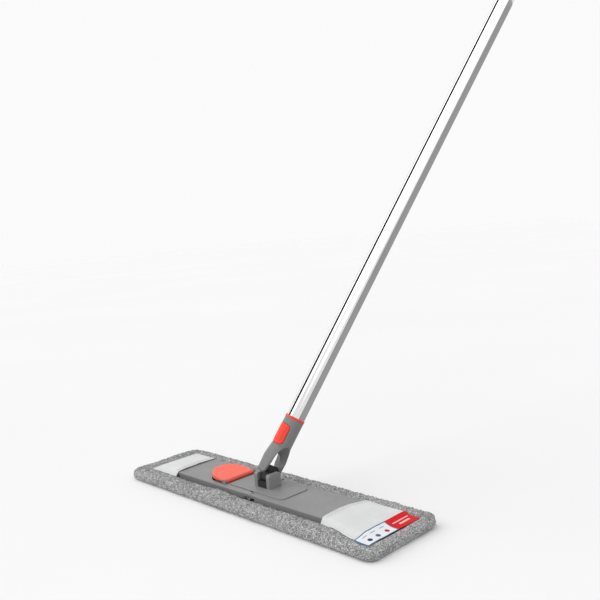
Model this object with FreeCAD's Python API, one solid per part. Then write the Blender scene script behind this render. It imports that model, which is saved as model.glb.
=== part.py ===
import FreeCAD, Part
import math
import os
from FreeCAD import Placement, Rotation
from FreeCAD import Vector as V

# Flat floor mop: terry pad, folding plate held in two pockets, two-axis joint, telescopic pole.
# Millimetres. X runs along the pad, +Y is the side the pole leans to, +Z is up, z = 0 is the floor.
os.makedirs("parts", exist_ok=True)

# pad
PAD_LENGTH, PAD_WIDTH, RIM_TOP = 430.0, 110.0, 15.0
PAD_CORNER = 15.0
RECESS_HALF_X, RECESS_HALF_Y, PILE_TOP = 206.5, 34.0, 9.0
BACKING = 0.8
POCKET_CLOTH = 1.2
POCKET_TOP = 19.2
LEFT_MOUTH, RIGHT_MOUTH = -126.0, 133.0
HEM_WIDTH = 6.0
LABEL_X, LABEL_Y = (191.0, 209.0), (-48.0, 33.0)

# folding plate
FRAME_X = 8.0
FOLD_Z = 13.9
PLATE_REACH, PLATE_HALF_Y = 183.0, 30.5
FOLD_GAP, FOLD_LIP = 7.0, 4.3
PLATE_BOTTOM, PLATE_TOP = 10.3, 17.5
PLATE_SKIN, PLATE_WALL = 2.2, 2.2
KNUCKLE_R = 3.5
FOLD_PIN_R = 1.5
# knuckle stretches from the outside in, as distances from the middle line
OUTER_KNUCKLE, MIDDLE_KNUCKLE, INNER_KNUCKLE = (23.5, 30.3), (17.5, 23.1), (11.2, 17.1)

# joint base
BASE_HALF_X, BASE_HALF_Y = 49.0, 21.5
BASE_BOTTOM, BASE_TOP = 17.6, 18.7
CHEEK_IN, CHEEK_OUT, CHEEK_Y, CHEEK_TOP = 7.8, 13.6, (-8.5, 10.0), 35.5
INSERT_Y, INSERT_TOP = (-8.2, 7.6), 26.0
LOWER_AXLE_Z, AXLE_R, AXLE_GAP, BARREL_R = 28.5, 2.5, 10.5, 5.0

# foot pedal on the left half of the plate
PEDAL_X, PEDAL_Z = -46.0, 19.6
PEDAL_LENGTH, PEDAL_HALF_Y = 39.0, 23.0
PEDAL_TILT = 9.0
PEDAL_PIN_R = 1.5
CAM_X = -75.0

# pole, measured from the upper axle along the pole
LEAN_BACK, LEAN_RIGHT = 32.0, 12.6
ARM_IN, ARM_OUT, ARM_END_R = 10.2, 14.2, 6.4
CROWN, SHOULDER, SOCKET_START, SOCKET_END, SOCKET_R = 16.0, 14.0, 32.0, 65.0, 12.0
RING_END, RING_R = 67.8, 12.25
TUBE_R, TUBE_WALL, TUBE_END = 11.5, 0.7, 715.0
PLUG_START, PLUG_END = 42.0, 100.0
BUTTON_MIDDLE, BUTTON_LENGTH, BUTTON_WIDTH, BUTTON_CORNER = 44.0, 25.0, 17.0, 4.5
BUTTON_BACK, BUTTON_POCKET = -8.0, -3.1
SCOOP = 1.0
INNER_R, INNER_START, INNER_END = 10.0, 150.0, 893.0
NECK_START, NECK_END = 706.0, 724.0
NUT_START, NUT_END, NUT_R = 706.6, 752.0, 16.0
GRIP_START, GRIP_END, GRIP_R = 775.0, 893.0, 14.5
EYE_MIDDLE, EYE_HOLE_R, EYE_THICK, EYE_R = 913.0, 4.5, 8.0, 10.5

TILTED = Rotation(V(1, 0, 0), -LEAN_BACK)
SPIDER_PLACE = Placement(V(FRAME_X, 0, LOWER_AXLE_Z), TILTED)
PIVOT = SPIDER_PLACE.multVec(V(0, 0, AXLE_GAP))
POLE_PLACE = Placement(PIVOT, TILTED.multiply(Rotation(V(0, 1, 0), LEAN_RIGHT)))


def box(x0, x1, y0, y1, z0, z1):
    return Part.makeBox(x1 - x0, y1 - y0, z1 - z0, V(x0, y0, z0))


def rod(axis, r, start, end, at=(0, 0, 0)):
    """A cylinder along X, Y or Z from start to end, on the line through at."""
    step = {"x": V(1, 0, 0), "y": V(0, 1, 0), "z": V(0, 0, 1)}[axis]
    return Part.makeCylinder(r, end - start, V(*at) + step * start, step)


def pipe(r_out, r_in, start, end):
    return rod("z", r_out, start, end).cut(rod("z", r_in, start - 1, end + 1))


def slab(half_x, half_y, z0, z1, corner, middle=(0, 0)):
    """A plate with rounded vertical corners."""
    x, y = middle
    plate = box(x - half_x, x + half_x, y - half_y, y + half_y, z0, z1)
    upright = [e for e in plate.Edges if abs(e.Vertexes[0].Z - e.Vertexes[1].Z) > 0.1]
    return plate.makeFillet(corner, upright)


def edges_at(shape, z):
    """The edges that lie level at height z."""
    return [e for e in shape.Edges if e.BoundBox.ZLength < 0.01 and abs(e.BoundBox.ZMin - z) < 0.01]


def prism(points, plane, low, high):
    """A straight solid from an outline in the xz or xy plane, between two depths."""
    if plane == "xz":
        corners = [V(a, low, b) for a, b in points]
        along = V(0, high - low, 0)
    else:
        corners = [V(a, b, low) for a, b in points]
        along = V(0, 0, high - low)
    return Part.Face(Part.makePolygon(corners + corners[:1])).extrude(along)


def coil(radius, wire, height, turns):
    """A compression spring that stands on z = 0."""
    path = Part.Wire(Part.makeHelix(height / turns, height, radius).Edges)
    section = Part.Wire(Part.makeCircle(wire, V(radius, 0, 0), V(0, 1, 0)).Edges)
    return path.makePipeShell([section], True, True)


def save(node, shape, place=None):
    if place:
        shape = shape.copy()
        shape.Placement = place.multiply(shape.Placement)
    shape.exportStep(f"parts/{node}.step")


# ---- pad: pile block with a soft rim, backing cloth, pockets, hems, label ----
def pile():
    block = slab(PAD_LENGTH / 2, PAD_WIDTH / 2, 0, RIM_TOP, PAD_CORNER)
    block = block.makeFillet(5.5, edges_at(block, RIM_TOP))
    block = block.makeFillet(3.0, edges_at(block, 0))
    return block.cut(slab(RECESS_HALF_X, RECESS_HALF_Y, PILE_TOP, RIM_TOP + 1, 6))


def backing():
    return slab(RECESS_HALF_X - 0.2, RECESS_HALF_Y - 0.2, PILE_TOP, PILE_TOP + BACKING, 5.8)


def pocket_block(mouth, grow):
    """A solid over one end of the plate. Its slopes run down to the top of the rim."""
    side = 1 if mouth > 0 else -1
    wires = []
    for z, end, half in ((RIM_TOP, 208.6, 47.0), (POCKET_TOP, PLATE_REACH + side * FRAME_X + 2.2, 34.5)):
        end, half = end + grow, half + grow
        corners = [V(mouth, -half, z), V(side * end, -half, z), V(side * end, half, z), V(mouth, half, z)]
        if z > RIM_TOP:
            corners = [c + V(0, 0, grow) for c in corners]
        wires.append(Part.makePolygon(corners + corners[:1]))
    return Part.makeLoft(wires, True, True)


def pocket(mouth):
    return pocket_block(mouth, 0).cut(pocket_block(mouth, -POCKET_CLOTH))


def over_pocket(mouth, thick, x, y):
    """A thin layer that lies on a pocket, cut to a range of x and y."""
    layer = pocket_block(mouth, 0.05 + thick).cut(pocket_block(mouth, 0.05))
    return layer.common(box(*x, *y, RIM_TOP + 0.05, POCKET_TOP + 3))


# ---- folding plate ----
def knuckle(stretch, side_x):
    """A barrel on the fold axis. side_x gives the side of the wing it belongs to, 0 for the base."""
    low, high = stretch
    barrel = rod("y", KNUCKLE_R, low, high, (FRAME_X, 0, FOLD_Z))
    if side_x:
        reach = sorted((FRAME_X, FRAME_X + side_x * 9))
        web = box(*reach, low, high, FOLD_Z, PLATE_TOP)
    else:
        web = box(FRAME_X - KNUCKLE_R, FRAME_X + KNUCKLE_R, low, high, FOLD_Z, BASE_TOP)
    return barrel.fuse(web)


def pin_hole(r):
    return rod("y", r, -40, 40, (FRAME_X, 0, FOLD_Z))


def wing(side):
    """Half of the plate: a skin with side walls and ribs, open below, and two knuckles."""
    start, end = FRAME_X + side * FOLD_GAP, FRAME_X + side * PLATE_REACH
    middle, half = (start + end) / 2, abs(end - start) / 2
    body = slab(half, PLATE_HALF_Y, PLATE_BOTTOM, PLATE_TOP, 5, (middle, 0))
    body = body.makeFillet(0.9, edges_at(body, PLATE_TOP))
    hollow = slab(
        half - PLATE_WALL, PLATE_HALF_Y - PLATE_WALL, PLATE_BOTTOM - 1, PLATE_TOP - PLATE_SKIN, 3, (middle, 0)
    )
    body = body.cut(hollow)
    for step in range(1, 6):
        x = start + side * step * (PLATE_REACH - FOLD_GAP) / 6
        if side > 0 or step > 3:
            body = body.fuse(box(x - 0.8, x + 0.8, -29, 29, PLATE_BOTTOM + 0.6, PLATE_TOP - 1))
    for y in (-18, 18):
        ribs = sorted((start + side, end - side))
        body = body.fuse(box(*ribs, y - 0.8, y + 0.8, PLATE_BOTTOM + 0.6, PLATE_TOP - 1))
    # lips above the fold axis close the gap beside the joint base
    for y in (-26.25, 26.25):
        lip = sorted((FRAME_X + side * FOLD_LIP, FRAME_X + side * (FOLD_GAP + 6)))
        body = body.fuse(box(*lip, y - 4.25, y + 4.25, FOLD_Z, PLATE_TOP))
    # each wing has an outer knuckle on one edge and a middle one on the other: both are one moulding
    outer, inner = OUTER_KNUCKLE, MIDDLE_KNUCKLE
    front = outer if side < 0 else inner
    back = inner if side < 0 else outer
    mine = [(-front[1], -front[0]), back]
    others = [(-OUTER_KNUCKLE[1], -INNER_KNUCKLE[0]), (INNER_KNUCKLE[0], OUTER_KNUCKLE[1])]
    for low, high in others:
        body = body.cut(rod("y", KNUCKLE_R + 0.4, low - 0.4, high + 0.8, (FRAME_X, 0, FOLD_Z)))
    for stretch in mine:
        body = body.fuse(knuckle(stretch, side))
    return body.cut(pin_hole(FOLD_PIN_R + 0.06))


def pedal_outline(grow=0.0):
    """D shape in plan: straight at the pivot, round at the free end."""
    x, half = PEDAL_X + 2 + grow, PEDAL_HALF_Y + grow
    reach = PEDAL_X - PEDAL_LENGTH - grow
    shoulder = PEDAL_X - PEDAL_LENGTH + PEDAL_HALF_Y
    edges = [
        Part.makeLine(V(x, half, 0), V(shoulder, half, 0)),
        Part.Arc(V(shoulder, half, 0), V(reach, 0, 0), V(shoulder, -half, 0)).toShape(),
        Part.makeLine(V(shoulder, -half, 0), V(x, -half, 0)),
        Part.makeLine(V(x, -half, 0), V(x, half, 0)),
    ]
    return Part.Face(Part.Wire(edges))


def left_wing():
    """The left wing has a well under the pedal, two pivot lugs and guide rails for the latch slider."""
    body = wing(-1)
    well = pedal_outline(1.2).extrude(V(0, 0, 20)).translated(V(0, 0, PLATE_BOTTOM - 1))
    body = body.cut(well)
    floor = pedal_outline(3.2).extrude(V(0, 0, 1.2)).translated(V(0, 0, PLATE_BOTTOM))
    wall = pedal_outline(3.2).extrude(V(0, 0, PLATE_TOP - PLATE_BOTTOM)).translated(V(0, 0, PLATE_BOTTOM))
    inside = pedal_outline(1.2).extrude(V(0, 0, 20)).translated(V(0, 0, PLATE_BOTTOM))
    body = body.fuse(wall.cut(inside).fuse(floor).common(box(-200, 0, -30, 30, 0, 30)))
    for low, high in ((-24.6, -22.0), (22.0, 24.6)):
        lug = box(PEDAL_X - 3, PEDAL_X + 3, low, high, PLATE_TOP - 3, PEDAL_Z)
        lug = lug.fuse(rod("y", 3, low, high, (PEDAL_X, 0, PEDAL_Z)))
        body = body.fuse(lug)
    body = body.cut(rod("y", PEDAL_PIN_R + 0.02, -27, 27, (PEDAL_X, 0, PEDAL_Z)))
    # passage for the latch slider from the well to the joint base
    body = body.cut(box(-92, FRAME_X, -6.4, 6.4, 11.4, 14.6))
    return body


def pedal():
    """Wedge with a skirt: its top rises toward the free end, which stands clear of the well."""
    tilt = math.tan(math.radians(PEDAL_TILT))
    free_end = PEDAL_X - PEDAL_LENGTH
    high = PEDAL_Z + 1 + tilt * (PEDAL_LENGTH + 2)
    side = prism(
        [(PEDAL_X + 3, PEDAL_Z - 0.6), (PEDAL_X + 3, PEDAL_Z + 0.8), (free_end - 1, high), (free_end - 1, PEDAL_Z)],
        "xz", -30, 30,
    )
    solid = pedal_outline().extrude(V(0, 0, 30)).common(side)
    rim = [e for e in solid.Edges if e.BoundBox.ZMin > PEDAL_Z + 0.2 and e.BoundBox.XMin < PEDAL_X - 10]
    solid = solid.makeFillet(1.2, rim)
    hollow = pedal_outline(-2.2).extrude(V(0, 0, 30)).common(side.translated(V(0, 0, -2.0)))
    solid = solid.cut(hollow)
    # pivot barrel between the lugs
    for low, high in ((-25.5, -21.7), (21.7, 25.5)):
        solid = solid.cut(box(PEDAL_X - 3.6, PEDAL_X + 6, low, high, PLATE_TOP - 3, PEDAL_Z + 3.6))
    solid = solid.fuse(rod("y", 2.9, -21.7, 21.7, (PEDAL_X, 0, PEDAL_Z)))
    # wedge that drives the latch slider
    cam = [(-4, 24.8), (3, 23.7), (3, 16.2), (2, 15.3), (0, 15.3), (-4, 17.3)]
    cam = prism([(CAM_X + x, z) for x, z in cam], "xz", -3, 3)
    solid = solid.fuse(cam)
    return solid.cut(rod("y", PEDAL_PIN_R + 0.06, -30, 30, (PEDAL_X, 0, PEDAL_Z)))


def pedal_springs():
    """Two springs between the well's floor and the pedal, one on each side of the slider."""
    return Part.makeCompound([coil(3.0, 0.4, 8.1, 5).translated(V(-60, y, 11.95)) for y in (-13, 13)])


def latch_slider():
    """Flat bar under the pedal. Its window takes the pedal's wedge, its nose meets the joint base."""
    bar = box(-87, FRAME_X - 9, -6, 6, 11.8, 14.2)
    nose = box(FRAME_X - 9, FRAME_X - 6.2, -4, 4, 12.2, 13.8)
    return bar.cut(box(CAM_X - 1, CAM_X + 7, -3.8, 3.8, 11, 15)).fuse(nose)


# ---- joint base, axles and spider ----
def joint_base():
    base = slab(BASE_HALF_X, BASE_HALF_Y, BASE_BOTTOM, BASE_TOP, 6, (FRAME_X, 0))
    base = base.makeFillet(0.6, edges_at(base, BASE_TOP))
    # bay that leaves the pedal and its lugs free
    base = base.cut(box(-60, PEDAL_X + 8, -30, 30, 10, 30))
    for side in (-1, 1):
        inner, outer = sorted((FRAME_X + side * CHEEK_IN, FRAME_X + side * CHEEK_OUT))
        cheek = box(inner, outer, *CHEEK_Y, BASE_BOTTOM, CHEEK_TOP)
        ends = [e for e in edges_at(cheek, CHEEK_TOP) if e.BoundBox.YLength < 0.01]
        cheek = cheek.makeFillet(3.0, ends)
        base = base.fuse(cheek.makeFillet(0.6, edges_at(cheek, CHEEK_TOP)))
    for stretch in (INNER_KNUCKLE, (-INNER_KNUCKLE[1], -INNER_KNUCKLE[0])):
        base = base.fuse(knuckle(stretch, 0))
    # catch for the latch slider, between the inner ends of the two halves
    catch = box(FRAME_X - 5, FRAME_X + 5, -7, 7, 11.3, BASE_BOTTOM + 0.5)
    catch = catch.cut(box(FRAME_X - 6, FRAME_X - 2, -4.6, 4.6, 11.9, 14.1))
    base = base.fuse(catch)
    bore = rod("x", AXLE_R + 0.02, -40, 40, (FRAME_X, 0, LOWER_AXLE_Z))
    return base.cut(bore).cut(pin_hole(FOLD_PIN_R + 0.02))


def fold_pins():
    front = pin = rod("y", FOLD_PIN_R, INNER_KNUCKLE[0], OUTER_KNUCKLE[1] - 0.3, (FRAME_X, 0, FOLD_Z))
    back = pin.mirror(V(0, 0, 0), V(0, 1, 0))
    return Part.makeCompound([front, back])


def lower_axle():
    pin = rod("x", AXLE_R, -CHEEK_OUT - 0.3, CHEEK_OUT + 0.3)
    pin = pin.makeChamfer(0.4, [e for e in pin.Edges if e.Length < 20])
    return pin.translated(V(FRAME_X, 0, LOWER_AXLE_Z))


def joint_insert():
    """Friction pad between the cheeks, hollowed for the swivel's lower barrel."""
    pad = box(FRAME_X - CHEEK_IN + 0.1, FRAME_X + CHEEK_IN - 0.1, *INSERT_Y, BASE_TOP, INSERT_TOP)
    return pad.cut(rod("x", BARREL_R + 0.3, -40, 40, (FRAME_X, 0, LOWER_AXLE_Z)))


def spider():
    """Block that turns on the lower axle and carries the upper one."""
    low = rod("x", BARREL_R, -CHEEK_IN + 0.35, CHEEK_IN - 0.35)
    high = rod("y", BARREL_R, -ARM_IN + 0.35, ARM_IN - 0.35, (0, 0, AXLE_GAP))
    core = box(-6.2, 6.2, -4.6, 4.6, 0, AXLE_GAP)
    body = low.fuse(high).fuse(core)
    return body.cut(rod("x", AXLE_R + 0.05, -20, 20)).cut(rod("y", AXLE_R + 0.02, -20, 20, (0, 0, AXLE_GAP)))


def upper_axle():
    return rod("y", AXLE_R, -ARM_OUT + 1.4, ARM_OUT - 1.4, (0, 0, AXLE_GAP))


# ---- pole, in its own frame: the upper axle is y, z runs up the pole ----
def oblong(grow, y0, y1):
    """The button's rounded outline seen from the front, from depth y0 to y1."""
    bar = slab(BUTTON_WIDTH / 2 + grow, BUTTON_LENGTH / 2 + grow, -y1, -y0, BUTTON_CORNER + grow)
    bar.rotate(V(0, 0, 0), V(1, 0, 0), 90)
    return bar.translated(V(0, 0, BUTTON_MIDDLE))


def yoke():
    """Fork with two arms that spread from the socket and end round at the upper axle."""
    half = [(ARM_END_R, 0), (8.8, SHOULDER), (SOCKET_R, SOCKET_START - 2)]
    outline = half + [(-x, z) for x, z in reversed(half)]
    hull = rod("z", ARM_OUT + 0.4, -ARM_END_R, SHOULDER)
    hull = hull.fuse(Part.makeCone(ARM_OUT + 0.4, SOCKET_R, SOCKET_START - SHOULDER, V(0, 0, SHOULDER)))
    body = prism(outline, "xz", -ARM_OUT, ARM_OUT).fuse(rod("y", ARM_END_R, -ARM_OUT, ARM_OUT)).common(hull)
    body = body.fuse(rod("z", SOCKET_R, SOCKET_START - 4, SOCKET_END))
    arch_axis = V(0, 0, CROWN - ARM_IN)
    arch = box(-20, 20, -ARM_IN, ARM_IN, -8, arch_axis.z).fuse(rod("x", ARM_IN, -20, 20, arch_axis))
    body = body.cut(arch)
    # the arch rises outward on both sides, so that the fork can lie down over the base
    for side in (-1, 1):
        body = body.cut(Part.makeCylinder(ARM_IN, 30, arch_axis, V(side, 0, SCOOP)))
    # the outer lower corners are bevelled so that the arms clear the base
    for side in (-1, 1):
        corner = [V(0, side * y, z) for y, z in ((ARM_OUT + 1, -7.4), (ARM_OUT - 3.6, -7.4), (ARM_OUT + 1, -2.4))]
        corner = Part.Face(Part.makePolygon(corner + corner[:1])).extrude(V(20, 0, 0))
        body = body.cut(corner.translated(V(-10, 0, 0)))
    body = body.cut(rod("z", TUBE_R - TUBE_WALL, PLUG_START, SOCKET_END + 1))
    body = body.cut(oblong(0.4, -20, BUTTON_POCKET))
    return body.cut(rod("y", AXLE_R + 0.06, -20, 20))


def axle_cap(side):
    """Disc that closes the outer end of the upper axle's bore."""
    low, high = sorted((side * (ARM_OUT - 1.3), side * (ARM_OUT + 0.2)))
    return rod("y", AXLE_R, low, high)


def lower_tube():
    return pipe(TUBE_R, TUBE_R - TUBE_WALL, RING_END, TUBE_END)


def tube_plug():
    """Plug that joins the socket and the tube, with a pocket behind the button."""
    plug = rod("z", TUBE_R - TUBE_WALL - 0.05, PLUG_START + 0.05, PLUG_END)
    return plug.cut(oblong(0.8, -20, BUTTON_POCKET))


def release_button():
    """Wide push button, curved like the socket, with cross ribs."""
    body = oblong(0, -20, BUTTON_BACK).common(rod("z", SOCKET_R + 0.4, 20, 70))
    ribs = rod("z", SOCKET_R + 0.8, 20, 70)
    for step in range(-3, 4):
        z = BUTTON_MIDDLE + step * 2.6
        body = body.fuse(box(-5.5, 5.5, -20, -9, z - 0.55, z + 0.55).common(ribs))
    return body


def button_spring():
    spring = coil(2.8, 0.4, 3.7, 3)
    spring.rotate(V(0, 0, 0), V(1, 0, 0), -90)
    return spring.translated(V(0, BUTTON_BACK + 0.5, BUTTON_MIDDLE))


def collar_neck():
    """Sleeve fixed on the lower tube's end, with a split taper that grips the upper tube."""
    body = pipe(14.6, TUBE_R + 0.02, NECK_START - 18, NECK_START)
    body = body.fuse(pipe(12.9, TUBE_R + 0.02, NECK_START, TUBE_END))
    body = body.fuse(pipe(12.9, INNER_R + 0.3, TUBE_END, NECK_END))
    taper = Part.makeCone(12.9, 11.4, 20, V(0, 0, NECK_END)).cut(rod("z", INNER_R + 0.3, 600, 800))
    for turn in (0, 60, 120):
        slit = box(-20, 20, -0.8, 0.8, NECK_END + 3, NECK_END + 21)
        slit.rotate(V(0, 0, 0), V(0, 0, 1), turn)
        taper = taper.cut(slit)
    return body.fuse(taper)


def lock_collar():
    """Nut that turns on the neck, with grip flutes."""
    body = rod("z", NUT_R, NUT_START, NUT_END)
    body = body.makeChamfer(1.6, edges_at(body, NUT_END) + edges_at(body, NUT_START))
    for step in range(12):
        angle = math.radians(step * 30)
        body = body.cut(
            rod("z", 2.2, NUT_START + 6, NUT_END - 6, (17.4 * math.cos(angle), 17.4 * math.sin(angle), 0))
        )
    return body.cut(rod("z", 13.3, NUT_START - 1, NUT_END - 5)).cut(rod("z", INNER_R + 0.4, 700, 800))


def guide_plug():
    return rod("z", TUBE_R - TUBE_WALL - 0.25, INNER_START - 14, INNER_START)


def grip():
    """Hand grip: a soft sleeve with a slight waist."""
    half, middle = (GRIP_END - GRIP_START) / 2, (GRIP_START + GRIP_END) / 2
    profile = [V(INNER_R + 0.02, 0, GRIP_START), V(GRIP_R - 1.5, 0, GRIP_START)]
    profile += [V(GRIP_R, 0, GRIP_START + 3)]
    waist = Part.Arc(V(GRIP_R, 0, GRIP_START + 3), V(GRIP_R - 1.0, 0, middle), V(GRIP_R, 0, GRIP_END))
    edges = [Part.makeLine(profile[0], profile[1]), Part.makeLine(profile[1], profile[2]), waist.toShape()]
    edges.append(Part.makeLine(V(GRIP_R, 0, GRIP_END), V(INNER_R + 0.02, 0, GRIP_END)))
    edges.append(Part.makeLine(V(INNER_R + 0.02, 0, GRIP_END), profile[0]))
    body = Part.Face(Part.Wire(edges)).revolve(V(0, 0, 0), V(0, 0, 1), 360)
    for step in range(9):
        z = middle + (step - 4) * half / 6
        body = body.cut(Part.makeTorus(GRIP_R - 0.2, 0.9, V(0, 0, z)))
    return body


def hanger_cap():
    """End cap with a flat eye to hang the mop by."""
    body = Part.makeCone(GRIP_R, 9.0, 14, V(0, 0, GRIP_END))
    body = body.fuse(rod("x", EYE_R, -EYE_THICK / 2, EYE_THICK / 2, (0, 0, EYE_MIDDLE)))
    body = body.fuse(box(-EYE_THICK / 2, EYE_THICK / 2, -9, 9, GRIP_END + 2, EYE_MIDDLE))
    return body.cut(rod("x", EYE_HOLE_R, -20, 20, (0, 0, EYE_MIDDLE)))


save("pad_pile", pile())
save("pad_backing", backing())
save("left_pocket", pocket(LEFT_MOUTH))
save("right_pocket", pocket(RIGHT_MOUTH))
save("left_hem", over_pocket(LEFT_MOUTH, 0.6, (LEFT_MOUTH - HEM_WIDTH, LEFT_MOUTH), (-44, 44)))
save("right_hem", over_pocket(RIGHT_MOUTH, 0.6, (RIGHT_MOUTH, RIGHT_MOUTH + HEM_WIDTH), (-44, 44)))
save("care_label", over_pocket(RIGHT_MOUTH, 0.4, LABEL_X, LABEL_Y))

save("joint_base", joint_base())
save("fold_pins", fold_pins())
save("lower_axle", lower_axle())
save("joint_insert", joint_insert())
save("left_wing", left_wing())
save("right_wing", wing(1))
save("foot_pedal", pedal())
save("pedal_pin", rod("y", PEDAL_PIN_R, -24.7, 24.7, (PEDAL_X, 0, PEDAL_Z)))
save("pedal_springs", pedal_springs())
save("latch_slider", latch_slider())

save("spider", spider(), SPIDER_PLACE)
save("upper_axle", upper_axle(), SPIDER_PLACE)

save("yoke", yoke(), POLE_PLACE)
save("front_axle_cap", axle_cap(-1), POLE_PLACE)
save("back_axle_cap", axle_cap(1), POLE_PLACE)
save("socket_ring", pipe(RING_R, TUBE_R - TUBE_WALL, SOCKET_END, RING_END), POLE_PLACE)
save("lower_tube", lower_tube(), POLE_PLACE)
save("tube_plug", tube_plug(), POLE_PLACE)
save("release_button", release_button(), POLE_PLACE)
save("button_spring", button_spring(), POLE_PLACE)
save("collar_neck", collar_neck(), POLE_PLACE)
save("lock_collar", lock_collar(), POLE_PLACE)
save("upper_tube", pipe(INNER_R, INNER_R - TUBE_WALL, INNER_START, INNER_END), POLE_PLACE)
save("guide_plug", guide_plug(), POLE_PLACE)
save("grip", grip(), POLE_PLACE)
save("hanger_cap", hanger_cap(), POLE_PLACE)
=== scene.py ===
import math

import bpy
import numpy as np
from mathutils import Matrix, Vector, kdtree, noise


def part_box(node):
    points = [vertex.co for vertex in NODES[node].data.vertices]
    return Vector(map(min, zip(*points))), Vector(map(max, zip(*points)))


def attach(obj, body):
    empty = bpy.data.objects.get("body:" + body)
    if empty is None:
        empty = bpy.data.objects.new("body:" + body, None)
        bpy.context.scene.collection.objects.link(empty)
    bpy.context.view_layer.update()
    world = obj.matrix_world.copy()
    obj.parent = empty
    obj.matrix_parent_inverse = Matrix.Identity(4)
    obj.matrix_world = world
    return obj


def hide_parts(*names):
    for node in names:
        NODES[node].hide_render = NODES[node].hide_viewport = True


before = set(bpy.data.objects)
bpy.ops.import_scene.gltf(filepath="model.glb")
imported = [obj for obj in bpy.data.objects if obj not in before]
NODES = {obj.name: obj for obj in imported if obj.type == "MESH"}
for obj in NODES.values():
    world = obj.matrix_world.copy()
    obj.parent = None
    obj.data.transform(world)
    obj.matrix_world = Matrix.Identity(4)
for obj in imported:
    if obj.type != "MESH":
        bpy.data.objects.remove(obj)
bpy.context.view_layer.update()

MM = 0.001
RNG = np.random.default_rng(12)


# ---- mesh helpers; shapes are worked out in millimetres ----
def add_piece(name, verts, faces, body, material):
    """A smooth-shaded mesh that rides on a body and takes its finish from a slot."""
    mesh = bpy.data.meshes.new(name)
    mesh.from_pydata((np.asarray(verts, float) * MM).tolist(), [], [tuple(map(int, f)) for f in faces])
    mesh.validate()
    mesh.polygons.foreach_set("use_smooth", [True] * len(mesh.polygons))
    mesh.materials.append(material)
    obj = bpy.data.objects.new(name, mesh)
    bpy.context.scene.collection.objects.link(obj)
    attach(obj, body)
    return obj


def add_modifier(obj, kind, **values):
    mod = obj.modifiers.new(kind.title(), kind)
    for key, value in values.items():
        setattr(mod, key, value)
    return mod


def grid_faces(rows, cols, closed=False):
    """Quads of a grid whose rows are stored one after another. closed joins the last column to the first."""
    r, c = np.meshgrid(np.arange(rows - 1), np.arange(cols if closed else cols - 1), indexing="ij")
    a, b = r * cols + c, r * cols + (c + 1) % cols
    return np.stack([a, b, b + cols, a + cols], -1).reshape(-1, 4)


def waves(points, size, seed=0.0):
    """Smooth noise from -1 to 1 at each point, with features of about that size."""
    return np.array([noise.noise(Vector(p) / size + Vector((seed, seed, seed))) for p in points])


# ---- materials ----
class Look:
    """A material and the nodes that drive its Principled shader."""

    def __init__(self, name, **sockets):
        self.mat = bpy.data.materials.new(name)
        self.mat.use_nodes = True
        self.nodes, self.links = self.mat.node_tree.nodes, self.mat.node_tree.links
        self.shader = self.nodes["Principled BSDF"]
        for key, value in sockets.items():
            self.shader.inputs[key.replace("_", " ")].default_value = value
        self.where = self.nodes.new("ShaderNodeTexCoord").outputs["Object"]

    def node(self, kind, **inputs):
        made = self.nodes.new("ShaderNode" + kind)
        for key, value in inputs.items():
            self.put(value, made.inputs[key.replace("_", " ")])
        return made

    def put(self, value, socket):
        if isinstance(value, bpy.types.NodeSocket):
            self.links.new(value, socket)
        else:
            socket.default_value = value

    def noise(self, size_mm, detail=3.0, where=None):
        made = self.node("TexNoise", Vector=where or self.where, Scale=1000.0 / size_mm, Detail=detail)
        return made.outputs["Fac"]

    def cells(self, size_mm):
        made = self.node("TexVoronoi", Vector=self.where, Scale=1000.0 / size_mm)
        return made.outputs["Distance"]

    def stretched(self, x, y, z):
        return self.node("Mapping", Vector=self.where, Scale=(x, y, z)).outputs["Vector"]

    def ramp(self, value, *stops):
        """Grey levels, or colours, at positions along value."""
        made = self.node("ValToRGB", Fac=value)
        marks = made.color_ramp.elements
        while len(marks) < len(stops):
            marks.new(0.5)
        for mark, (at, colour) in zip(marks, stops):
            mark.position = at
            mark.color = (colour,) * 3 + (1,) if isinstance(colour, float) else tuple(colour) + (1,)
        return made.outputs["Color"]

    def math(self, operation, a, b=0.0):
        made = self.nodes.new("ShaderNodeMath")
        made.operation = operation
        self.put(a, made.inputs[0])
        self.put(b, made.inputs[1])
        return made.outputs["Value"]

    def mix(self, factor, a, b):
        made = self.nodes.new("ShaderNodeMix")
        made.data_type = "RGBA"
        for value, socket in ((factor, "Factor_Float"), (a, "A_Color"), (b, "B_Color")):
            self.put(value, next(i for i in made.inputs if i.identifier == socket))
        return next(o for o in made.outputs if o.identifier == "Result_Color")

    def bump(self, height, depth_mm, strength=1.0, over=None):
        made = self.node("Bump", Height=height, Distance=depth_mm * MM, Strength=strength)
        if over:
            self.links.new(over, made.inputs["Normal"])
        return made.outputs["Normal"]

    def soft_edges(self, radius_mm):
        made = self.node("Bevel", Radius=radius_mm * MM)
        made.samples = 6
        return made.outputs["Normal"]

    def set(self, **sockets):
        for key, value in sockets.items():
            self.put(value, self.shader.inputs[key.replace("_", " ")])
        return self.mat


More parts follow.
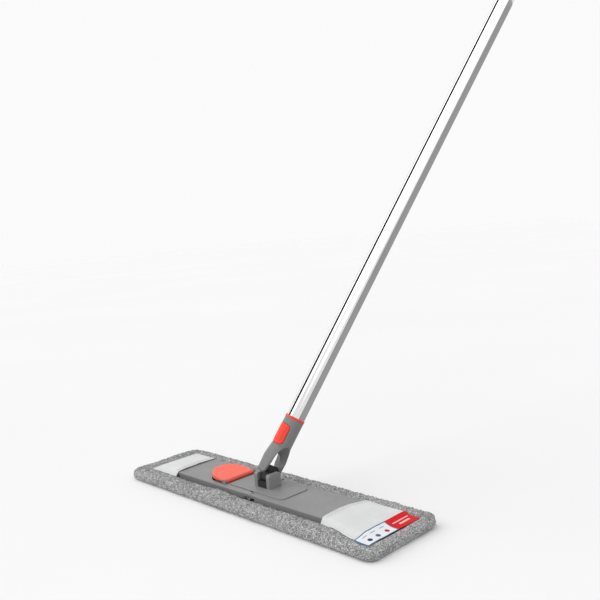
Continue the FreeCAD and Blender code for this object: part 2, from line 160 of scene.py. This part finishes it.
def plastic(name, colour, rough, edge_mm=0.5, grain_mm=0.45, depth=0.03):
    """Moulded plastic: fine spark-eroded grain, faint flow marks, softly rounded edges, pale dust in
    scattered spots.
    """
    look = Look(name, IOR=1.47)
    r, g, b = colour
    cloud = look.noise(38.0, 4.0)
    base = look.ramp(cloud, (0.3, (r * 0.93, g * 0.93, b * 0.93)), (0.72, (r * 1.05, g * 1.05, b * 1.05)))
    dust = look.ramp(look.noise(3.2, 5.0), (0.56, 0.0), (0.78, 0.16))
    base = look.mix(dust, base, (min(r * 1.3 + 0.02, 1), min(g * 1.3 + 0.02, 1), min(b * 1.3 + 0.02, 1), 1))
    grain = look.noise(grain_mm, 2.0)
    scuffs = look.noise(1.1, 3.0, look.stretched(0.12, 1.0, 1.0))
    level = look.ramp(scuffs, (0.35, rough - 0.06), (0.7, rough + 0.09))
    normal = look.bump(grain, depth, 0.55, look.soft_edges(edge_mm))
    return look.set(Base_Color=base, Roughness=level, Normal=normal)


def metal(name, grey, rough, lines, edge_mm=0.2):
    """Drawn or polished metal with faint lines along or around it."""
    look = Look(name, Metallic=1.0)
    streaks = look.noise(0.35, 2.0, look.stretched(*lines))
    spots = look.noise(22.0, 5.0)
    base = look.ramp(spots, (0.25, grey * 0.95), (0.75, min(grey * 1.03, 1.0)))
    level = look.ramp(streaks, (0.3, max(rough - 0.03, 0.02)), (0.75, rough + 0.05))
    normal = look.bump(streaks, 0.004, 0.5, look.soft_edges(edge_mm))
    return look.set(Base_Color=base, Roughness=level, Normal=normal)


def terry():
    """Grey looped microfibre: mixed light and dark threads, soft sheen."""
    look = Look("terry_loops", Roughness=0.95, Sheen_Weight=0.3, Sheen_Roughness=0.5)
    threads = look.noise(1.1, 3.0)
    lumps = look.cells(2.3)
    patches = look.noise(26.0, 3.0)
    base = look.ramp(threads, (0.36, 0.10), (0.5, 0.36), (0.64, 0.80))
    base = look.mix(look.ramp(lumps, (0.4, 0.0), (0.8, 0.4)), base, (0.16, 0.16, 0.165, 1))
    base = look.mix(look.ramp(patches, (0.42, 0.0), (0.66, 0.25)), base, (0.46, 0.46, 0.47, 1))
    fibres = look.noise(0.5, 3.0)
    return look.set(Base_Color=base, Normal=look.bump(fibres, 0.35, 0.8))


def woven(name, colour, thread_mm, rough=0.85, depth=0.12, sheen=0.2):
    """Plain weave: two sets of crossing threads, slubs and slight shade changes."""
    look = Look(name, Sheen_Weight=sheen, Sheen_Roughness=0.45)
    parts = look.node("SeparateXYZ", Vector=look.where)
    turns = 2 * math.pi / (thread_mm * MM)
    across = [look.math("SINE", look.math("MULTIPLY", parts.outputs[i], turns)) for i in (0, 1)]
    over = look.math("MULTIPLY", across[0], across[1])
    # from 0 to 1, because the node's third input is 0.5 as well
    weave = look.math("MULTIPLY_ADD", over, 0.5)
    slubs = look.noise(thread_mm * 2.2, 4.0)
    folds = look.noise(30.0, 3.0)
    r, g, b = colour
    base = look.ramp(folds, (0.3, (r * 0.9, g * 0.9, b * 0.9)), (0.7, (r, g, b)))
    gaps = look.ramp(weave, (0.0, 0.24), (0.6, 0.0))
    base = look.mix(gaps, base, (r * 0.55, g * 0.55, b * 0.56, 1))
    base = look.mix(look.ramp(slubs, (0.55, 0.0), (0.8, 0.12)), base, (r * 0.75, g * 0.75, b * 0.75, 1))
    normal = look.bump(slubs, depth, 0.4, look.bump(weave, depth, 0.6))
    level = look.ramp(slubs, (0.3, rough - 0.08), (0.7, rough))
    return look.set(Base_Color=base, Roughness=level, Normal=normal)


def rubber():
    """Soft black grip with a fine pebbled grain."""
    look = Look("grip_rubber")
    grain = look.cells(0.9)
    base = look.ramp(look.noise(12.0, 4.0), (0.3, 0.018), (0.7, 0.034))
    level = look.ramp(look.noise(4.0, 3.0), (0.3, 0.62), (0.7, 0.8))
    normal = look.bump(grain, 0.08, 0.5, look.soft_edges(0.5))
    return look.set(Base_Color=base, Roughness=level, Normal=normal)


def label_print():
    """Satin tape: white part with a blue-grey border, three round marks and three short bars, red part with
    two pale bars. The print's coordinates are the UV map's, in millimetres across and along the tape."""
    look = Look("label_print", Specular_IOR_Level=0.25)
    parts = look.node("SeparateXYZ", Vector=look.nodes["Texture Coordinate"].outputs["UV"])
    s, t = parts.outputs[0], parts.outputs[1]

    def inside(value, low, high):
        above = look.math("GREATER_THAN", value, low)
        return look.math("MULTIPLY", above, look.math("LESS_THAN", value, high))

    def patch(s0, s1, t0, t1):
        return look.math("MULTIPLY", inside(s, s0, s1), inside(t, t0, t1))

    def disc(s0, t0, r):
        ds, dt = look.math("SUBTRACT", s, s0), look.math("SUBTRACT", t, t0)
        far = look.math("ADD", look.math("MULTIPLY", ds, ds), look.math("MULTIPLY", dt, dt))
        return look.math("LESS_THAN", far, r * r)

    white, border, red = (0.83, 0.86, 0.90, 1), (0.10, 0.19, 0.29, 1), (0.70, 0.004, 0.008, 1)
    colour = look.mix(patch(-5.0, 25.0, -5.0, 46.0), red, border)
    colour = look.mix(patch(1.3, 17.9, 1.3, 44.8), colour, white)
    marks = ((10.5, (0.02, 0.035, 0.13, 1)), (22.5, (0.1, 0.12, 0.2, 1)), (36.0, (0.5, 0.02, 0.03, 1)))
    for t0, ink in marks:
        colour = look.mix(disc(12.0, t0, 2.7), colour, ink)
        colour = look.mix(patch(4.2, 5.2, t0 - 3.4, t0 + 3.4), colour, (0.35, 0.38, 0.45, 1))
    for s0, s1, t0, t1 in ((6.3, 7.6, 50.5, 75.0), (10.2, 12.6, 56.0, 72.0)):
        colour = look.mix(patch(s0, s1, t0, t1), colour, (0.85, 0.55, 0.53, 1))
    threads = look.math("SINE", look.math("MULTIPLY", t, 2 * math.pi / 0.35))
    colour = look.mix(look.ramp(threads, (0.2, 0.0), (1.0, 0.08)), colour, (0.02, 0.02, 0.02, 1))
    level = look.ramp(look.noise(3.0), (0.3, 0.42), (0.7, 0.6))
    return look.set(Base_Color=colour, Roughness=level, Normal=look.bump(threads, 0.03, 0.4))


GREY = plastic("grey_plastic", (0.25, 0.25, 0.25), 0.46)
FORK_GREY = plastic("fork_grey_plastic", (0.215, 0.215, 0.215), 0.44)
DARK = plastic("dark_plastic", (0.022, 0.022, 0.023), 0.5, 0.4)
ORANGE = plastic("orange_plastic", (1.0, 0.145, 0.095), 0.4, 0.9, 0.6, 0.015)
RED_ORANGE = plastic("red_orange_plastic", (0.96, 0.05, 0.022), 0.4, 0.3, 0.6, 0.012)
STEEL = metal("bright_steel", 0.58, 0.24, (1.0, 1.0, 0.06))
TUBE = metal("polished_tube", 0.78, 0.07, (1.0, 0.06, 0.06))
RUBBER = rubber()
TERRY = terry()
# near-black backing cloth: its colour is painted shadow for the dark gap round the plate
BACKING_PAINTED_SHADE = woven("backing_weave_painted_shade", (0.05, 0.05, 0.052), 1.1)
WHITE_CLOTH = woven("pocket_weave", (0.77, 0.775, 0.78), 0.85, sheen=0.2)
HEM_CLOTH = woven("hem_weave", (0.75, 0.755, 0.76), 0.6, depth=0.1)
THREAD = woven("stitch_thread", (0.66, 0.665, 0.67), 0.35, depth=0.08)
LABEL = label_print()

for look, names in (
    (GREY, "left_wing right_wing joint_base lower_axle lock_collar"),
    (FORK_GREY, "yoke front_axle_cap back_axle_cap"),
    (DARK, "joint_insert latch_slider spider tube_plug collar_neck guide_plug"),
    (ORANGE, "foot_pedal hanger_cap"),
    (RED_ORANGE, "release_button socket_ring"),
    (STEEL, "fold_pins pedal_pin pedal_springs upper_axle button_spring"),
    (TUBE, "lower_tube upper_tube"),
    (RUBBER, "grip"),
):
    for name in names.split():
        for place in NODES[name].material_slots:
            place.material = look


# ---- what each cloth measures laid flat, width and length in millimetres ----
CUTS = {
    "backing": (71.0, 401.0),
    "left_pocket": (74.0, 59.0),
    "right_pocket": (79.0, 73.0),
    "left_hem": (73.0, 10.5),
    "right_hem": (75.0, 10.5),
    "label": (19.0, 85.0),
}


def cut(name):
    """The flat size of a cloth in metres."""
    return [side * MM for side in CUTS[name]]


# ---- pad: one closed terry surface, lumpy, with loops that stand out of it ----
PAD_HALF = [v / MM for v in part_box("pad_pile")[1]][:2]
RIM_AT = [0.0, 0.6, 2.5, 7.0, 13.0, 17.8, 19.8, 20.6]
RIM_Z = [7.0, 10.4, 13.0, 14.8, 15.2, 13.8, 11.4, 9.3]
RIM_LEFT, RIM_RIGHT, RIM_SIDE = 23.0, 8.5, 20.6
CORNER_OUT, CORNER_IN, CORNER_ARC = 10.0, 7.0, 23.6
EDGE_INSET, UNDERSIDE_Z, LOWEST_Z = 0.9, 0.95, 0.05
RING_POINTS, RING_STEP, CENTRE_RINGS = 940, 1.1, 38
BACKING_TUCK, BACKING_Z = 1.2, 9.4
TUFT_REACH, LOOPS, LOOP_BENDS, LOOP_SIDES, LOOP_LOWEST_Z = 1.6, 4900, 6, 4, 0.3

# where the label and the pockets press the pile down
LABEL_INNER_X, LABEL_FRONT_Y = 188.0, -52.0
RIGHT_MOUTH_X, LEFT_MOUTH_X, LEFT_END_X = 133.0, -134.0, -195.0
PRESSED_Y, PRESSED_Z, PRESSED_SHARE = 36.0, 8.0, 0.3


def rounded_ring(low, high, radius, count):
    """Points along a rectangle with round corners. Rings of any size match point by point."""
    straight = [PAD_HALF[0] * 2 - 30, PAD_HALF[1] * 2 - 30] * 2
    share = np.array([v for length in straight for v in (length, CORNER_ARC)])
    starts = np.concatenate([[0], np.cumsum(share)]) / share.sum()
    (x0, y0), (x1, y1), r = low, high, radius
    sides = [
        ((x0 + r, y0), (x1 - r, y0)),
        ((x1, y0 + r), (x1, y1 - r)),
        ((x1 - r, y1), (x0 + r, y1)),
        ((x0, y1 - r), (x0, y0 + r)),
    ]
    centres = [(x1 - r, y0 + r), (x1 - r, y1 - r), (x0 + r, y1 - r), (x0 + r, y0 + r)]
    at = np.arange(count) / count
    out = np.zeros((count, 2))
    for k in range(4):
        for corner in (0, 1):
            low_at, high_at = starts[2 * k + corner], starts[2 * k + corner + 1]
            mine = (at >= low_at) & (at < high_at)
            f = ((at[mine] - low_at) / (high_at - low_at))[:, None]
            if corner:
                angle = np.radians(-90 + 90 * k + 90 * f[:, 0])
                out[mine] = np.array(centres[k]) + r * np.stack([np.cos(angle), np.sin(angle)], 1)
            else:
                out[mine] = np.array(sides[k][0]) * (1 - f) + np.array(sides[k][1]) * f
    return out


def rounded_off(points, rounds=3):
    """A line with its corners cut off again and again. Its ends stay."""
    p = np.array(points, float)
    for _ in range(rounds):
        cut = np.empty((2 * len(p) - 2, 2))
        cut[0::2] = p[:-1] * 0.75 + p[1:] * 0.25
        cut[1::2] = p[:-1] * 0.25 + p[1:] * 0.75
        p = np.vstack([p[:1], cut, p[-1:]])
    return p


def along(points, step):
    """Evenly spaced points on a line, about a step apart."""
    run = np.concatenate([[0], np.cumsum(np.linalg.norm(np.diff(points, axis=0), axis=1))])
    marks = np.linspace(0, run[-1], max(int(run[-1] / step), 2) + 1)
    return np.stack([np.interp(marks, run, points[:, i]) for i in range(points.shape[1])], 1)


def under_cloth(points):
    """Where a pocket or the label lies on the pile."""
    x, y = points[:, 0], points[:, 1]
    label = (x > LABEL_INNER_X) & (y > LABEL_FRONT_Y) & (y < PRESSED_Y)
    right = (x > RIGHT_MOUTH_X) & (y > -seam_y(1, x, -1.0) - 0.5) & (y < PRESSED_Y)
    left = (x < LEFT_MOUTH_X) & (x > LEFT_END_X) & (np.abs(y) < PRESSED_Y)
    return (label | right | left) & (points[:, 2] > PRESSED_Z)


def pad_rings():
    """The pad's smooth shape as rings of points, and how many of them are on the rim. They run from the rim's
    inner foot over its crest, down its outside and along the underside to the middle."""
    half_x, half_y = PAD_HALF
    edge, count = EDGE_INSET, RING_POINTS
    outer = rounded_ring((-half_x + edge, -half_y + edge), (half_x - edge, half_y - edge), CORNER_OUT, count)
    inner_low, inner_high = (-half_x + RIM_LEFT, -half_y + RIM_SIDE), (half_x - RIM_RIGHT, half_y - RIM_SIDE)
    inner = rounded_ring(inner_low, inner_high, CORNER_IN, count)
    middle = rounded_ring((-half_x + half_y, -0.1), (half_x - half_y, 0.1), 0.05, count)
    profile = list(zip(RIM_AT, RIM_Z))[::-1] + [(0.1, 4.6), (1.3, 2.1), (3.6, 1.1), (6.5, UNDERSIDE_Z)]
    rim = along(rounded_off(profile), RING_STEP)
    rings = [np.column_stack([outer + (inner - outer) * (q / RIM_SIDE), np.full(count, z)]) for q, z in rim]
    start = rings[-1][:, :2]
    for q in np.linspace(0, 1, CENTRE_RINGS)[1:]:
        rings.append(np.column_stack([start + (middle - start) * q, np.full(count, UNDERSIDE_Z)]))
    return np.array(rings), len(rim)


def outward(lattice, rim_rings):
    """The direction out of the pad at each point of its rings."""
    normal = np.cross(np.gradient(lattice, axis=0), np.roll(lattice, -1, 1) - np.roll(lattice, 1, 1))
    normal /= np.linalg.norm(normal, axis=2, keepdims=True) + 1e-9
    if normal[rim_rings // 3, 0] @ (0, -0.3, 1) < 0:
        normal = -normal
    return normal.reshape(-1, 3)


def make_pad():
    """The pile with its tufts, and the loops that stand out of its rim."""
    lattice, rim_rings = pad_rings()
    base = lattice.reshape(-1, 3)
    normal = outward(lattice, rim_rings)
    # slow unevenness of the rim, then the tufts
    above = np.clip((base[:, 2] - 1.5) / 6.0, 0, 1)
    slow = waves(base, 34.0) * 1.1 + waves(base, 11.0, 5.0) * 0.6
    spots = lattice[::2, ::2].reshape(-1, 3)
    spots = spots + RNG.normal(0, 0.5, spots.shape)
    tall = RNG.uniform(0.35, 1.0, len(spots))
    tree = kdtree.KDTree(len(spots))
    for i, p in enumerate(spots):
        tree.insert(p, i)
    tree.balance()
    nearest = [tree.find(p)[1:] for p in base]
    lump = np.array([max(0.0, 1 - (d / TUFT_REACH) ** 2) * tall[i] for i, d in nearest])
    pressed = under_cloth(base)
    rise = (lump * (0.3 + 0.9 * above) + slow * above) * np.where(pressed, PRESSED_SHARE, 1.0)
    verts = base + normal * rise[:, None]
    verts[:, 2] = np.clip(verts[:, 2], LOWEST_Z, None)
    faces = grid_faces(len(lattice), RING_POINTS, closed=True)
    pad = add_piece("pad_terry", verts, faces, "pad", TERRY)
    add_modifier(pad, "WELD", merge_threshold=0.00004)
    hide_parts("pad_pile")

    on_rim = np.arange(len(base)) < rim_rings * RING_POINTS
    make_loops(base, normal, rise, np.flatnonzero((base[:, 2] > 3.0) & ~pressed & on_rim))


def make_loops(base, normal, rise, shown):
    """Small bent threads that stand out of the rim, at some of the points shown."""
    picks = RNG.choice(shown, LOOPS, replace=False)
    turn, section = np.linspace(0, math.pi, LOOP_BENDS), np.linspace(0, 2 * math.pi, LOOP_SIDES + 1)[:-1]
    verts, faces = [], []
    for k, i in enumerate(picks):
        n = normal[i]
        side = np.cross(n, RNG.normal(size=3))
        side /= np.linalg.norm(side)
        flat = np.cross(n, side)
        tall, wide, thick = RNG.uniform(0.9, 1.7), RNG.uniform(0.6, 1.0), RNG.uniform(0.2, 0.32)
        out = np.outer(np.sin(turn), n) + np.outer(np.cos(turn), side)
        line = base[i] + n * (rise[i] - 0.35) + out * (tall + wide) / 2
        line = line + np.outer(np.sin(turn) ** 2, flat) * RNG.uniform(-0.8, 0.8)
        for point, away in zip(line, out):
            verts += [point + thick * (math.cos(a) * away + math.sin(a) * flat) for a in section]
        faces.append(grid_faces(LOOP_BENDS, LOOP_SIDES, closed=True) + LOOP_BENDS * LOOP_SIDES * k)
    verts = np.array(verts)
    verts[:, 2] = np.clip(verts[:, 2], LOOP_LOWEST_Z, None)
    add_piece("pad_loops", verts, np.vstack(faces), "pad", TERRY)


def make_backing():
    """The cloth inside the rim, glued to the pile."""
    rows, cols = 200, 40
    x = np.linspace(-PAD_HALF[0] + RIM_LEFT - BACKING_TUCK, PAD_HALF[0] - RIM_RIGHT + BACKING_TUCK, rows)
    y = np.linspace(-PAD_HALF[1] + RIM_SIDE - BACKING_TUCK, PAD_HALF[1] - RIM_SIDE + BACKING_TUCK, cols)
    grid = np.stack([*np.meshgrid(x, y, indexing="ij"), np.zeros((rows, cols))], -1)
    grid[..., 2] = BACKING_Z + waves(grid.reshape(-1, 3), 14.0, 2.0).reshape(rows, cols) * 0.25
    points, faces = grid.reshape(-1, 3), grid_faces(rows, cols)
    cloth = add_piece("pad_backing_cloth", points, faces, "pad", BACKING_PAINTED_SHADE)
    add_modifier(cloth, "SOLIDIFY", thickness=0.7 * MM, offset=0.0)
    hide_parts("pad_backing")


# ---- pockets, hems, stitches and label ----
PLATE_LEFT, PLATE_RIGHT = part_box("left_wing")[0].x / MM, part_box("right_wing")[1].x / MM
PLATE_SIDE, PLATE_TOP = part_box("right_wing")[1].y / MM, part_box("right_wing")[1].z / MM
LABEL_FROM, LABEL_LONG, LABEL_MIDDLE, LABEL_HALF, LABEL_CORNER = -50.0, 83.0, 199.6, 9.4, 6.0
LEFT_SEWN_X, RIGHT_SEWN_X = 194.5, 204.0
STITCH_PITCH, STITCH_LONG, STITCH_THICK, STITCH_SIDES = 3.0, 2.1, 0.24, 5
STITCH_TAPER = (0.45, 0.95, 1.0, 0.95, 0.45)
# the hem's section: how far back from the mouth, and how far above the cloth
HEM_SECTION = (
    (6.8, 0.82), (6.3, 0.95), (4.0, 1.02), (1.5, 1.02), (-0.2, 0.85),
    (-0.6, 0.45), (-0.45, -0.03), (0.4, -0.2), (1.6, -0.22), (1.8, 0.0),
)


def ease(v):
    """From 0 to 1 with no corner at either end."""
    v = np.clip(v, 0, 1)
    return v * v * (3 - 2 * v)


def mouth_x(side, v):
    """Where the pocket's open edge runs, from its front end (v = -1) to its back end."""
    if side < 0:
        return -135.7 - 1.3 * v - 1.6 * (1 - v * v)
    return 135.0 - 5.5 * (1 - v * v) + 4.0 * v


def seam_y(side, x, v):
    """How far from the middle line the pocket is sewn down. On the right the front edge spreads outward."""
    spread = ease((x - 136.0) / 52.0) * (side > 0)
    return np.where(v < 0, 35.6 + spread * 11.5, 34.2 - spread * 2.2)


def rim_height(y):
    """The pile's height over the floor at that distance from the pad's middle line."""
    return np.interp(PAD_HALF[1] - np.abs(y), RIM_AT, RIM_Z)


def cloth_point(side, x, v, above=0.0):
    """A point of a pocket's cloth. v runs across it, from -1 at the front seam to 1 at the back one."""
    x, v = np.broadcast_arrays(np.asarray(x, float), np.asarray(v, float))
    seam = seam_y(side, x, v)
    y = v * seam
    plate_end, fall, end_z = (PLATE_RIGHT, 8.0, 14.6) if side > 0 else (-PLATE_LEFT, 18.0, 11.8)
    seam_z = np.maximum(rim_height(seam), 12.6) + 0.5
    over = 1 - ease((np.abs(y) - PLATE_SIDE + 1.2) / (seam - PLATE_SIDE + 1.2))
    top = PLATE_TOP + 0.4
    inward = side * (x - mouth_x(side, v))
    lift = (0.8 if side > 0 else 0.1) * np.exp(-np.clip(inward, 0, None) / 24.0)
    crown = (0.3 + lift) * np.clip(1 - (y / (PLATE_SIDE + 4.0)) ** 2, 0, None)
    z = seam_z + (top - seam_z) * over + crown * over
    last = ease((side * x - plate_end + 1.0) / fall)
    z = z + (np.minimum(end_z, z) - z) * last
    points = np.stack([x, y, np.zeros_like(x)], -1).reshape(-1, 3)
    pulled = waves(points * (0.3, 1.0, 1.0), 7.5, side * 3.0) * 0.45
    broad = waves(points, 26.0, side * 7.0) * 0.55
    slack = np.clip((1 - np.abs(v.reshape(-1))) / 0.25, 0.0, 1.0) ** 0.6
    folds = np.clip((pulled + broad + 0.3) * slack, 0, None).reshape(x.shape)
    return np.stack([x, y, z + folds + above], -1)


def make_pocket(side, name):
    """The cloth runs from its mouth to the sewn end."""
    rows, cols = 64, 70
    v = np.linspace(-1, 1, cols)[None, :].repeat(rows, 0)
    f = np.linspace(0, 1, rows)[:, None]
    end = side * ((RIGHT_SEWN_X if side > 0 else LEFT_SEWN_X) - 3.0 * np.abs(v) ** 8)
    grid = cloth_point(side, mouth_x(side, v) * (1 - f) + end * f, v)
    faces = grid_faces(rows, cols)
    faces = faces[:, ::-1] if side > 0 else faces
    cloth = add_piece(f"{name}_pocket_cloth", grid.reshape(-1, 3), faces, "pad", WHITE_CLOTH)
    add_modifier(cloth, "SOLIDIFY", thickness=0.8 * MM, offset=1.0)
    add_modifier(cloth, "SUBSURF", levels=1, render_levels=1)
    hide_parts(f"{name}_pocket")


def make_hem(side, name):
    """A folded tape round the pocket's open edge: flat above and below, round at the fold."""
    v = np.linspace(-0.985, 0.985, 96)
    grid = np.array([cloth_point(side, mouth_x(side, v) + side * back, v, up) for back, up in HEM_SECTION])
    faces = grid_faces(len(HEM_SECTION), len(v))
    faces = faces if side > 0 else faces[:, ::-1]
    hem = add_piece(f"{name}_hem_tape", grid.reshape(-1, 3), faces, "pad", HEM_CLOTH)
    add_modifier(hem, "SUBSURF", levels=1, render_levels=1)
    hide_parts(f"{name}_hem")


def stitch_line(side, marks, verts, faces, above):
    """Short raised threads along a line of (x, v) marks on the cloth."""
    line = along(cloth_point(side, marks[:, 0], marks[:, 1], above), STITCH_PITCH)
    turn = np.linspace(0, 2 * math.pi, STITCH_SIDES + 1)[:-1]
    steps = np.linspace(-0.5, 0.5, len(STITCH_TAPER))
    radii = STITCH_THICK * np.array(STITCH_TAPER)
    one = grid_faces(len(steps), STITCH_SIDES, closed=True)
    for a, b in zip(line[:-1], line[1:]):
        way = (b - a) / (np.linalg.norm(b - a) + 1e-9)
        at = (a + b) / 2 + np.outer(steps * STITCH_LONG, way)
        at[:, 2] += 0.28 * (1 - (2 * steps) ** 2) - 0.1
        flat = np.array([-way[1], way[0], 0.0])
        ring = np.outer(np.cos(turn), flat) + np.outer(np.sin(turn), (0, 0, 1))
        faces.append(one + len(steps) * STITCH_SIDES * len(verts))
        verts.append(np.vstack([p + r * ring for p, r in zip(at, radii)]))


def make_stitches(side, name):
    """Two rows along the hem, one along each side seam, and on the left one across the sewn end."""
    verts, faces = [], []
    v = np.linspace(-0.95, 0.95, 80)
    for back in (1.5, 4.9):
        stitch_line(side, np.stack([mouth_x(side, v) + side * back, v], 1), verts, faces, 1.08)
    last = 189.0 if side > 0 else 190.0
    for across in (-0.955, 0.955):
        x = np.linspace(mouth_x(side, across) + side * 7, side * last, 60)
        stitch_line(side, np.stack([x, np.full(60, across)], 1), verts, faces, 0.85)
    if side < 0:
        stitch_line(side, np.stack([np.full_like(v, side * 192.3), v], 1), verts, faces, 0.85)
    add_piece(f"{name}_stitches", np.vstack(verts), np.vstack(faces), "pad", THREAD)


def make_label():
    """Printed tape sewn along the pad's right end. Its far corners are round."""
    rows, cols = 100, 24
    t = np.linspace(0, LABEL_LONG, rows)
    tip = np.clip((t - (LABEL_LONG - LABEL_CORNER)) / LABEL_CORNER, 0, 1)
    half = LABEL_HALF - LABEL_CORNER * (1 - np.sqrt(1 - np.clip(tip, 0, 0.995) ** 2))
    s = np.linspace(-1, 1, cols)[None, :] * half[:, None]
    x, y = LABEL_MIDDLE + s, (LABEL_FROM + t)[:, None].repeat(cols, 1)
    under = cloth_point(1, x, np.clip(y / seam_y(1, x, y), -1, 1))[..., 2] + 1.2
    rim = np.interp((PAD_HALF[0] - x) * RIM_SIDE / RIM_RIGHT, RIM_AT, RIM_Z)
    under = np.maximum(under, np.maximum(np.where(x > 205.0, rim, 0), rim_height(np.minimum(y, -36.0))) + 1.1)
    # the tape is smoothed again and again, and never goes under what it lies on
    z = under.copy()
    for _ in range(60):
        z[1:-1] = (z[:-2] + z[2:] + z[1:-1]) / 3
        z[:, 1:-1] = (z[:, :-2] + z[:, 2:] + z[:, 1:-1]) / 3
        z = np.maximum(z, under)
    grid = np.stack([x, y, z], -1)
    points, faces = grid.reshape(-1, 3), grid_faces(rows, cols)[:, ::-1]
    label = add_piece("care_label_tape", points, faces, "pad", LABEL)
    layer = label.data.uv_layers.new(name="print")
    flat = np.stack([s + LABEL_HALF, t[:, None].repeat(cols, 1)], -1).reshape(-1, 2)
    for loop in label.data.loops:
        layer.data[loop.index].uv = flat[loop.vertex_index]
    add_modifier(label, "SOLIDIFY", thickness=0.35 * MM, offset=0.0)
    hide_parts("care_label")


# ---- camera, floor and light ----
def link(name, data):
    obj = bpy.data.objects.new(name, data)
    bpy.context.scene.collection.objects.link(obj)
    return obj


CAMERA_AT = Vector((0.651, -0.527, 0.3115))
CAMERA_TURN = [math.radians(v) for v in (-46.73, 5.19, -4.87)]
LENS_MM, SENSOR_MM = 43.02, 36.0


def make_camera():
    """The camera at its place, and the directions to its right and ahead of it."""
    yaw, dip, roll = CAMERA_TURN
    ahead = Vector((math.sin(yaw) * math.cos(dip), math.cos(yaw) * math.cos(dip), -math.sin(dip)))
    right = Vector((math.cos(yaw), -math.sin(yaw), 0.0))
    up = right.cross(ahead)
    right, up = right * math.cos(roll) + up * math.sin(roll), up * math.cos(roll) - right * math.sin(roll)
    camera = link("camera", bpy.data.cameras.new("camera"))
    camera.data.lens = LENS_MM
    camera.data.sensor_width = SENSOR_MM
    camera.data.clip_start = 0.01
    rows = [(right[i], up[i], -ahead[i], CAMERA_AT[i]) for i in range(3)]
    camera.matrix_world = Matrix(rows + [(0, 0, 0, 1)])
    bpy.context.scene.camera = camera
    return right, ahead


def make_card(name, level, angles, radius, reach, right, ahead):
    """A curved sheet parallel to the pole at rest, which only shows as a reflection. The angles go round the
    pole, from the camera toward its right."""
    foot, top = [(lo + hi) / 2 for lo, hi in (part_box("yoke"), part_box("grip"))]
    pole = (top - foot).normalized()
    toward = (-ahead + pole * pole.dot(ahead)).normalized()
    aside = toward.cross(pole)
    aside = aside if aside.dot(right) > 0 else -aside
    verts, steps = [], 16
    for k in range(steps + 1):
        angle = math.radians(angles[0] + (angles[1] - angles[0]) * k / steps)
        out = toward * math.cos(angle) + aside * math.sin(angle)
        verts += [foot + out * radius + pole * run for run in reach]
    mesh = bpy.data.meshes.new(name)
    mesh.from_pydata(verts, [], [(2 * k, 2 * k + 1, 2 * k + 3, 2 * k + 2) for k in range(steps)])
    look = Look(name, Base_Color=(0, 0, 0, 1), Roughness=1.0)
    look.set(Emission_Color=(1, 1, 1, 1), Emission_Strength=level)
    mesh.materials.append(look.mat)
    card = link(name, mesh)
    card.visible_camera = card.visible_shadow = card.visible_diffuse = False
    card.visible_transmission = card.visible_volume_scatter = False
    return card


def make_stage():
    """Camera, floor, reflector cards, pale world and two soft suns."""
    right, ahead = make_camera()
    floor = bpy.data.meshes.new("floor")
    floor.from_pydata([(-30, -30, 0), (30, -30, 0), (30, 30, 0), (-30, 30, 0)], [], [(0, 1, 2, 3)])
    pale = Look("pale_floor", Roughness=0.8, Specular_IOR_Level=0.1)
    floor.materials.append(pale.set(Base_Color=pale.ramp(pale.noise(900.0), (0.3, 0.90), (0.7, 0.92))))
    cards = [
        make_card("dark_card", 0.0, (-114, -80), 1.6, (-1.5, 4.0), right, ahead),
        make_card("grey_card", 0.37, (36, 150), 0.13, (-0.01, 0.72), right, ahead),
    ]
    link("floor", floor)

    world = bpy.data.worlds.new("studio")
    world.use_nodes = True
    nodes, links = world.node_tree.nodes, world.node_tree.links
    path, least = nodes.new("ShaderNodeLightPath"), nodes.new("ShaderNodeMapRange")
    links.new(path.outputs["Is Diffuse Ray"], least.inputs["Value"])
    least.inputs["To Min"].default_value, least.inputs["To Max"].default_value = 1.0, 0.62
    links.new(least.outputs["Result"], nodes["Background"].inputs["Strength"])
    nodes["Background"].inputs["Color"].default_value = (0.96, 0.96, 0.96, 1)
    bpy.context.scene.world = world
    bpy.context.scene.view_settings.view_transform = "Standard"
    for name, strength, place in (("key", 1.42, (-1.5, -1.3, 2.4)), ("fill", 0.42, (1.4, -0.6, 1.6))):
        lamp = bpy.data.lights.new(name, "SUN")
        lamp.energy, lamp.angle = strength, 1.3
        link(name, lamp).rotation_euler = (-Vector(place)).to_track_quat("-Z", "Y").to_euler()


make_stage()
make_pad()
make_backing()
for side, name in ((-1, "left"), (1, "right")):
    make_pocket(side, name)
    make_hem(side, name)
    make_stitches(side, name)
make_label()

bpy.context.view_layer.update()
